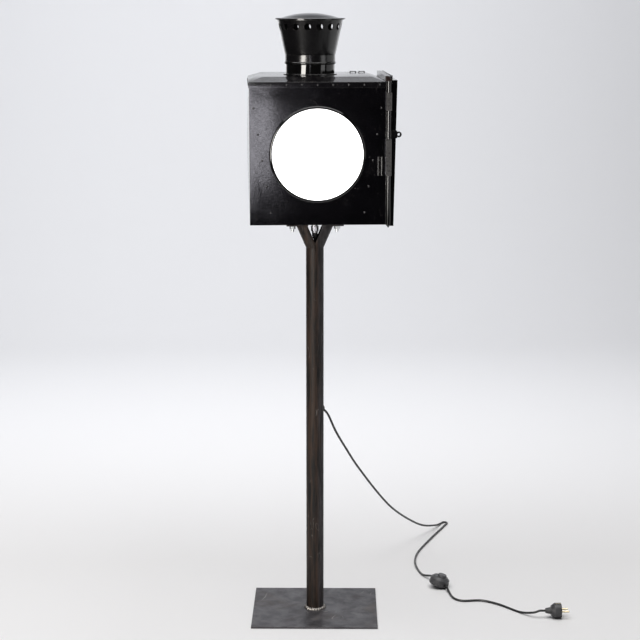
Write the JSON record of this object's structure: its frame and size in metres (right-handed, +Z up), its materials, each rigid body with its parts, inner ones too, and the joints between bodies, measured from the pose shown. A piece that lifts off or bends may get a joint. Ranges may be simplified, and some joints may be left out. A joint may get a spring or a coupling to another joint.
{
  "type": "railway signal lamp",
  "caption": "Sheet-steel railway signal lamp with opal window, vented chimney and side door, on a forked post stand with a mains lead and foot switch.",
  "frame": {"origin": "middle of the floor plate, on the floor, under the post", "axes": "+Z up, window faces -Y, door side is +X"},
  "size_m": [0.7771, 0.8614, 1.4577],
  "materials": {
    "plate_steel": "dark mill-scale plate, mottled and scratched",
    "weld_metal": "bare bright weld bead",
    "post_steel": "dark raw steel with brown patina and drawn streaks",
    "zinc": "bright zinc plate",
    "black_sheet": "old black paint on sheet, satin, dented",
    "roof_sheet": "old black paint, dusty satin",
    "rivet_black": "black paint worn on the crowns",
    "black_gloss": "glossy black paint",
    "cowl_paint": "semi-gloss black paint",
    "frame_sheet": "black paint worn at the folds",
    "door_sheet": "old black paint, scuffed",
    "hinge_iron": "black paint worn to iron at the edges",
    "guide_iron": "black paint rubbed to grey iron",
    "bar_steel": "rubbed steel bar",
    "rusty_iron": "rust brown iron",
    "felt": "dark felt",
    "opal_glass": "white opal glass, lit from behind",
    "bulb_opal": "white opal glass",
    "bakelite": "moulded black",
    "cap_metal": "thin pressed cap",
    "nickel": "nickel-plated brass",
    "black_rubber": "matt black rubber",
    "black_pvc": "smooth black lead sheath",
    "switch_plastic": "moulded black, fine texture",
    "button_plastic": "moulded dark grey",
    "spring_steel": "bright wire",
    "plug_plastic": "moulded black",
    "pin_metal": "plated brass"
  },
  "bodies": {
    "stand_and_box": {"base_plate": "plate_steel", "foot_weld": "weld_metal", "post_tube": "post_steel", "fork_feet": "post_steel", "fork_bolts": "zinc", "fork_washers": "zinc", "fork_nuts": "zinc", "front_panel": "black_sheet", "left_panel": "black_sheet", "back_panel": "black_sheet", "right_panel": "black_sheet", "floor_pan": "black_sheet", "roof": "roof_sheet", "eave_band": "roof_sheet", "band_rivets": "rivet_black", "front_rivets": "rivet_black", "roof_lugs": "roof_sheet", "lens_bezel": "black_gloss", "pane_seal": "felt", "opal_pane": "opal_glass", "pane_runners": "black_sheet", "chimney_collar": "black_gloss", "collar_rivets": "black_gloss", "door_frame": "frame_sheet", "door_hood": "frame_sheet", "body_hinges": "hinge_iron", "hinge_pins": "bar_steel", "hinge_rivets": "rivet_black", "bar_guides": "guide_iron", "guide_rivets": "rivet_black", "holder_bracket": "zinc", "bracket_screws": "zinc", "lamp_holder": "bakelite", "bulb_cap": "cap_metal", "bulb_glass": "bulb_opal", "gland_body": "nickel", "gland_locknut": "nickel", "gland_nut": "nickel", "gland_boot": "black_rubber", "lamp_lead": "black_pvc", "lead_grommet": "black_rubber", "plug_lead": "black_pvc", "switch_base": "switch_plastic", "switch_cover": "switch_plastic", "switch_spring": "spring_steel", "switch_screws": "zinc", "plug_body": "plug_plastic", "plug_pins": "pin_metal", "plug_earth": "pin_metal"},
    "door": {"door_panel": "door_sheet", "door_hinges": "hinge_iron", "strap_rivets": "rivet_black", "hasp_eye": "hinge_iron"},
    "lock": {"locking_bar": "bar_steel", "bar_cam": "rusty_iron", "bar_handle": "hinge_iron"},
    "cowl": {"chimney_cowl": "cowl_paint", "cowl_cap": "black_gloss"},
    "button": {"switch_button": "button_plastic"}
  },
  "joints": [
    {"name": "door_hinge", "type": "hinge", "parent": "stand_and_box", "child": "door", "pos_m": [0.1745, 0.161, 1.14], "axis": [0, 0, 1], "range_deg": [0, 115]},
    {"name": "bar_turn", "type": "hinge", "parent": "stand_and_box", "child": "lock", "pos_m": [0.16125, -0.1615, 1.15], "axis": [0, 0, -1], "range_deg": [0, 100]},
    {"name": "cowl_lift", "type": "slide", "parent": "stand_and_box", "child": "cowl", "axis": [0, 0, 1], "range_m": [0, 0.08]},
    {"name": "button_press", "type": "slide", "parent": "stand_and_box", "child": "button", "axis": [-0.2756, 0, -0.9613], "range_m": [0, 0.003], "stiffness_N_per_m": 600, "springref_m": -0.002, "deforming": ["switch_spring"]}
  ]
}
